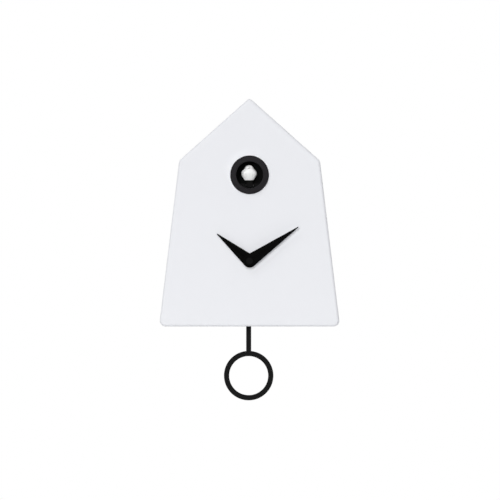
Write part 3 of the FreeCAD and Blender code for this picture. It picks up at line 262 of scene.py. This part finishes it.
def soften(node, radius):
    """Rounds a node's sharp edges with modifiers, which leave its own mesh as it is."""
    node.modifiers.new("weld", "WELD").merge_threshold = 0.001 * MM
    edge = node.modifiers.new("edge", "BEVEL")
    edge.width = radius
    edge.segments = 2
    edge.limit_method = "ANGLE"
    edge.angle_limit = math.radians(40)
    edge.harden_normals = True
    # Keeps the wide flat faces flat in shading right up to their rounded edges.
    flat = node.modifiers.new("flat", "WEIGHTED_NORMAL")
    flat.weight = 100
    flat.keep_sharp = True


def dress_cad_nodes():
    """Every CAD node gets its material and smooth shading that breaks at its real edges."""
    for name, node in frame["nodes"].items():
        dress(node, SLOT_OF[name])
        if name in FINISH_OF:
            node.data.materials[0] = FINISH_OF[name]
        smooth(node.data, 28)
        if name in EDGE_OF:
            soften(node, EDGE_OF[name] * MM)


# ---------------------------------------------------------------- mesh helpers

def add_piece(name, mesh, body, slot, replaced=()):
    """Links a mesh as a piece that rides on a body."""
    piece = bpy.data.objects.new(name, mesh)
    bpy.context.scene.collection.objects.link(piece)
    dress(piece, slot)
    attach(piece, body)
    if replaced:
        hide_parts(*replaced)
    return piece


def middle(node):
    """The middle of a CAD node's box."""
    low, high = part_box(node)
    return (low + high) / 2


# ---------------------------------------------------------------- stage, light and camera

FLOOR_DROP, FLOOR_RADIUS = 0.5, 1.1
# How strongly the white surround lights the clock from its sides.
SIDE_LIGHT = 0.6
# The height of the picture as a multiple of the clock's height, and how far the camera stands to the right.
PICTURE_SPAN, CAMERA_ASIDE = 1.6551, 0.0005


def make_floor():
    """A pale round floor below the clock."""
    low, high = CAD_BOX
    bm = bmesh.new()
    bmesh.ops.create_circle(bm, cap_ends=True, segments=128, radius=FLOOR_RADIUS)
    mesh = bpy.data.meshes.new("floor")
    bm.to_mesh(mesh)
    bm.free()
    floor = bpy.data.objects.new("floor", mesh)
    floor.location = (0, (low.y + high.y) / 2, low.z - FLOOR_DROP)
    bpy.context.scene.collection.objects.link(floor)
    n = Nodes("floor_pale")
    base = n.blend(n.noise(0.2), (0.86, 0.86, 0.86), (0.89, 0.89, 0.89))
    floor.data.materials.append(n.finish(Base_Color=base, Roughness=n.between(n.noise(0.05), 0.7, 0.8)))


def place_light(name, data, place, target):
    """Links a light and points it at its target."""
    lamp = bpy.data.objects.new(name, data)
    lamp.location = place
    lamp.rotation_euler = (Vector(target) - Vector(place)).to_track_quat("-Z", "Y").to_euler()
    bpy.context.scene.collection.objects.link(lamp)
    return lamp


def make_light(name, place, target, size, power):
    """A round soft light, its size in metres across and its power in watts."""
    data = bpy.data.lights.new(name, "AREA")
    data.shape = "DISK"
    data.size = size
    data.energy = power
    return place_light(name, data, place, target)


def make_spot(name, place, target, power):
    """A narrow spot with a soft edge."""
    data = bpy.data.lights.new(name, "SPOT")
    data.energy = power
    data.spot_size = math.radians(1)
    data.spot_blend = 0.7
    data.shadow_soft_size = 0.02
    return place_light(name, data, place, target)


def make_world():
    """White behind the clock. As light it is brightest from the sides and weak from the front."""
    world = bpy.data.worlds.new("studio")
    bpy.context.scene.world = world
    world.use_nodes = True
    tree = world.node_tree
    tree.nodes.clear()

    def add(kind, **settings):
        made = tree.nodes.new("ShaderNode" + kind)
        for name, value in settings.items():
            setattr(made, name, value)
        return made

    seen, lit = add("Background"), add("Background")
    seen.inputs["Color"].default_value = (1, 1, 1, 1)
    lit.inputs["Color"].default_value = (0.97, 0.98, 1.0, 1)
    direction = add("SeparateXYZ")
    tree.links.new(add("TexCoord").outputs["Generated"], direction.inputs[0])
    # Y runs from -1 straight in front to 0 at the sides; behind the clock the light stays level.
    sideways = add("MapRange")
    sideways.inputs["From Min"].default_value = -1
    sideways.inputs["From Max"].default_value = 0
    tree.links.new(direction.outputs["Y"], sideways.inputs["Value"])
    squared = add("Math", operation="POWER")
    squared.inputs[1].default_value = 2
    tree.links.new(sideways.outputs["Result"], squared.inputs[0])
    strength = add("Math", operation="MULTIPLY")
    strength.inputs[1].default_value = SIDE_LIGHT
    tree.links.new(squared.outputs[0], strength.inputs[0])
    tree.links.new(strength.outputs[0], lit.inputs["Strength"])

    path, mix, out = add("LightPath"), add("MixShader"), add("OutputWorld")
    tree.links.new(path.outputs["Is Camera Ray"], mix.inputs["Fac"])
    tree.links.new(lit.outputs[0], mix.inputs[1])
    tree.links.new(seen.outputs[0], mix.inputs[2])
    tree.links.new(mix.outputs[0], out.inputs["Surface"])


def make_camera():
    """A long lens straight at the front."""
    low, high = CAD_BOX
    data = bpy.data.cameras.new("camera")
    data.lens = 400
    data.sensor_width = 36
    span = PICTURE_SPAN * (high.z - low.z)
    distance = span * data.lens / data.sensor_width
    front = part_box("front_case")[0].y
    camera = bpy.data.objects.new("camera", data)
    camera.location = (CAMERA_ASIDE, front - distance, (low.z + high.z) / 2)
    camera.rotation_euler = (math.radians(90), 0, 0)
    data.clip_end = 2 * distance
    bpy.context.scene.collection.objects.link(camera)
    bpy.context.scene.camera = camera


def make_studio():
    """The lights, floor and camera. Lights are given by place, target, size if round, and power."""
    bpy.context.scene.view_settings.view_transform = "Standard"
    make_world()
    hub = middle("hand_nut")
    # The big front light would show as a white glare on the roof from behind, so nothing mirrors it.
    make_light("front", (-0.8, -7.8, 0.9), hub, 5.0, 527).visible_glossy = False
    make_light("key", (-1.1, -1.7, 1.9), hub, 1.2, 7)
    make_spot("porthole", (-0.14, -1.4, 0.05), middle("bird"), 48)
    make_light("back", (0.6, 1.4, 0.9), hub, 1.2, 2)
    make_floor()
    make_camera()


# ---------------------------------------------------------------- shapes

def lobe(bm, centre, radii, tilt=0.0, turn=0.0):
    """An ellipsoid lobe; tilt lowers its front and turn swings its front to +X, in degrees."""
    spin = Matrix.Rotation(math.radians(turn), 4, "Z") @ Matrix.Rotation(math.radians(tilt), 4, "X")
    shape = Matrix.Translation(centre) @ spin @ Matrix.Diagonal((*radii, 1))
    bmesh.ops.create_uvsphere(bm, u_segments=40, v_segments=24, radius=1, matrix=shape)


def skin(bm, rings):
    """Joins rings of points, each with the same number of points, and closes the two ends."""
    rows = [[bm.verts.new(point) for point in ring] for ring in rings]
    count = len(rows[0])
    for lower, upper in zip(rows, rows[1:]):
        for i in range(count):
            j = (i + 1) % count
            bm.faces.new((lower[i], lower[j], upper[j], upper[i]))
    bm.faces.new(reversed(rows[0]))
    bm.faces.new(rows[-1])


def turned(bm, profile, place):
    """A turned shape: pairs of a distance along and a radius, round the Z axis of place."""
    segments = 48
    angles = [math.tau * i / segments for i in range(segments)]
    skin(bm, [[place @ Vector((radius * math.cos(a), radius * math.sin(a), along)) for a in angles]
              for along, radius in profile])


def coil(bm, place, length, start_radius, end_radius, turns, wire):
    """A conical wire spring round the Z axis of place, with a flat turn at each end."""
    steps_per_turn, around, flat_turn = 28, 10, 0.9
    steps = int(turns * steps_per_turn)
    rings = []
    for step in range(steps + 1):
        share = step / steps
        angle = math.tau * turns * share
        rise = min(1.0, max(0.0, (share * turns - flat_turn) / (turns - 2 * flat_turn)))
        radius = start_radius + (end_radius - start_radius) * rise - wire
        out = Vector((math.cos(angle), math.sin(angle), 0))
        centre = out * radius + Vector((0, 0, wire + (length - 2 * wire) * rise))
        rings.append([place @ (centre + wire * (math.cos(t) * out + Vector((0, 0, math.sin(t)))))
                      for t in (math.tau * i / around for i in range(around))])
    skin(bm, rings)


def piece_of(name, draw, body, slot, replaced=(), angle=30):
    """Makes a piece from a function that draws into a bmesh. Edges sharper than angle stay sharp."""
    bm = bmesh.new()
    draw(bm)
    bmesh.ops.recalc_face_normals(bm, faces=bm.faces)
    mesh = bpy.data.meshes.new(name)
    bm.to_mesh(mesh)
    bm.free()
    return add_piece(name, smooth(mesh, angle), body, slot, replaced)


def eased(rows, at):
    """Reads a table of rows between its rows, with a smooth (Catmull-Rom) curve in each column."""
    spans = len(rows) - 1
    k = max(i for i in range(spans) if rows[i][0] <= at or i == 0)
    p0, p1, p2, p3 = rows[max(k - 1, 0)], rows[k], rows[k + 1], rows[min(k + 2, spans)]
    t = (at - p1[0]) / (p2[0] - p1[0])
    return [(2 * b + (c - a) * t + (2 * a - 5 * b + 4 * c - d) * t ** 2
             + (3 * b - a - 3 * c + d) * t ** 3) / 2
            for a, b, c, d in zip(p0[1:], p1[1:], p2[1:], p3[1:])]


# ---------------------------------------------------------------- the bird

# The bird from its foot up: the height, half the width, and how far its front and its back lie behind the
# beak's tip. These and BIRD_ASIDE, how far it stands to the right, are in millimetres.
BIRD_ROWS = [
    (0.0, 4.9, 10.4, 17.0), (0.5, 5.35, 9.9, 17.6), (1.8, 6.2, 9.4, 19.0), (3.0, 6.9, 8.8, 21.2),
    (4.4, 7.85, 8.1, 23.6), (5.7, 8.6, 7.6, 25.4), (7.7, 8.95, 6.9, 26.4), (9.6, 8.55, 6.8, 24.4),
    (11.2, 7.5, 6.9, 21.4), (12.2, 6.1, 6.6, 18.6), (13.2, 5.2, 6.2, 17.0), (14.6, 4.6, 6.0, 16.0),
    (16.0, 3.6, 6.9, 14.8), (16.8, 2.2, 8.2, 13.4), (17.1, 0.7, 9.6, 11.8)]
BIRD_ASIDE = -0.5


def around_bird(half, front, back, angle):
    """A point of a level cut through the bird: broad and flat in front, narrower towards the tail."""
    squareness, widest, tail_taper = 2 / 2.5, 0.42, 0.35
    across, along = (math.copysign(abs(part) ** squareness, part)
                     for part in (math.cos(angle), math.sin(angle)))
    centre = front + (back - front) * widest
    if along < 0:
        return half * across, centre + along * (centre - front)
    return half * across * (1 - tail_taper * along ** 2), centre + along * (back - centre)


def ramp(value, start, length):
    """Runs from 0 at start to 1 a length further on."""
    return max(0.0, min(1.0, (value - start) / length))


def carve_wings(vertex, origin):
    """A shallow groove round the front of each wing and feather grooves along it, in millimetres."""
    groove_depth, groove_width, feather_depth, feather_slope, feather_pitch = 0.55, 0.13, 0.22, 0.25, 2.9
    place = (vertex.co - origin) / MM
    side, back, height = abs(place.x), place.y, place.z
    if back < 13 and side > 3.5 and height > 2.5:
        # How far out the point is from the middle of the wing, as a share of the wing's outline.
        out = math.hypot((side - 7.6) / 3.0, (height - 7.9) / 4.3)
        vertex.co.y += groove_depth * MM * math.exp(-((out - 1) / groove_width) ** 2)
    on_wing = ramp(side, 6.2, 1.4) * ramp(back, 11, 4)
    feather = max(0.0, math.sin((height - feather_slope * back) * feather_pitch)) ** 3
    vertex.co.x -= feather_depth * MM * on_wing * feather * math.copysign(1, place.x)


def make_bird():
    """A small perched bird: domed head, folded wings, raised tail and a tapered foot."""
    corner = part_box("bird")[0]

    def at(x, back, height):
        """A point in millimetres to the right of the middle, behind the beak's tip and above the foot."""
        return Vector(((x + BIRD_ASIDE) * MM, corner.y + back * MM, corner.z + height * MM))

    def body(bm):
        levels, around = 64, 96
        top = BIRD_ROWS[-1][0]
        rings = []
        for level in range(levels + 1):
            height = top * (1 - math.cos(math.pi * level / levels)) / 2
            outline = eased(BIRD_ROWS, height)
            rings.append([at(*around_bird(*outline, math.tau * i / around), height) for i in range(around)])
        skin(bm, rings)
        for vertex in bm.verts:
            carve_wings(vertex, at(0, 0, 0))

    def tail(bm):
        """Three long feathers, the outer two swung apart."""
        for x in (-2.7, 0, 2.7):
            lobe(bm, at(x, 24.6, 8.6), (2.6 * MM, 7.6 * MM, 1.5 * MM), tilt=-14, turn=-3 * x)

    def beak(bm):
        """A lobe that narrows and droops towards its tip."""
        root = at(0, 6.6, 13.7)
        reach, narrowing, droop = 3.2 * MM, 0.8, 0.5 * MM
        lobe(bm, root, (1.3 * MM, 2.1 * MM, 0.9 * MM), tilt=4)
        for vertex in bm.verts:
            ahead = max(0.0, (root.y - vertex.co.y) / reach)
            taper = 1 - narrowing * ahead
            vertex.co.x = root.x + (vertex.co.x - root.x) * taper
            vertex.co.z = root.z + (vertex.co.z - root.z) * taper - droop * ahead ** 2

    def eyes(bm):
        for side in (-1, 1):
            lobe(bm, at(side * 3.4, 7.4, 14.5), (0.5 * MM, 0.6 * MM, 0.55 * MM))

    piece_of("bird_figure", body, "bird", "bird_plastic", replaced=["bird"], angle=60)
    for name, draw in (("bird_tail", tail), ("bird_beak", beak), ("bird_eyes", eyes)):
        piece_of(name, draw, "bird", "bird_plastic", angle=60)


# ---------------------------------------------------------------- the battery box

def make_cells():
    """Three sleeved AA cells, side by side, the middle one the other way round, and their springs."""
    low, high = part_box("battery_cells")
    spring_low, spring_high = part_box("battery_springs")
    depth = (low.y + high.y) / 2
    radius = (high.y - low.y) / 2
    button, length = 1.1 * MM, 49.3 * MM
    band_start = 0.74 * length
    # Each cell's height and which way along X its button points.
    rows = [(low.z + radius, 1), ((low.z + high.z) / 2, -1), (high.z - radius, 1)]

    def lying(x, height, ahead):
        """A place in the tray whose Z axis runs along X, the way that the button points."""
        return Matrix.Translation((x, depth, height)) @ Matrix.Rotation(math.radians(90 * ahead), 4, "Y")

    cells = [lying(ahead * (high.x - length - button), height, ahead) for height, ahead in rows]

    def cans(bm):
        for cell in cells:
            turned(bm, [(0, 4.6 * MM), (0.15 * MM, 5.0 * MM), (0.15 * MM, radius - 0.6 * MM),
                        (0.4 * MM, radius - 0.3 * MM), (length - 0.5 * MM, radius - 0.3 * MM),
                        (length, radius - 0.8 * MM), (length, 3.1 * MM), (length - 0.2 * MM, 2.9 * MM),
                        (length + button - 0.3 * MM, 2.7 * MM), (length + button, 2.35 * MM)], cell)

    def wrap(bm, start, end):
        """A sleeve round each cell, with rounded rims."""
        for cell in cells:
            turned(bm, [(start, radius - 0.9 * MM), (start, radius - 0.15 * MM), (start + 0.15 * MM, radius),
                        (end - 0.15 * MM, radius), (end, radius - 0.15 * MM), (end, radius - 0.9 * MM)], cell)

    def sleeves(bm):
        wrap(bm, 0.1 * MM, band_start)

    def bands(bm):
        wrap(bm, band_start, length - 0.05 * MM)

    def springs(bm):
        for height, ahead in rows:
            wall = spring_low.x if ahead == 1 else spring_high.x
            coil(bm, lying(wall, height, ahead), length=5.6 * MM, start_radius=3.4 * MM, end_radius=2.2 * MM,
                 turns=4.2, wire=0.3 * MM)

    piece_of("cell_cans", cans, "case", "steel", replaced=["battery_cells"])
    piece_of("cell_sleeves", sleeves, "case", "cell_wrap")
    piece_of("cell_bands", bands, "case", "cell_wrap").data.materials[0] = MATERIALS["cell_band"]
    piece_of("contact_springs", springs, "case", "steel", replaced=["battery_springs"])


# ---------------------------------------------------------------- run

make_studio()
dress_cad_nodes()
make_bird()
make_cells()
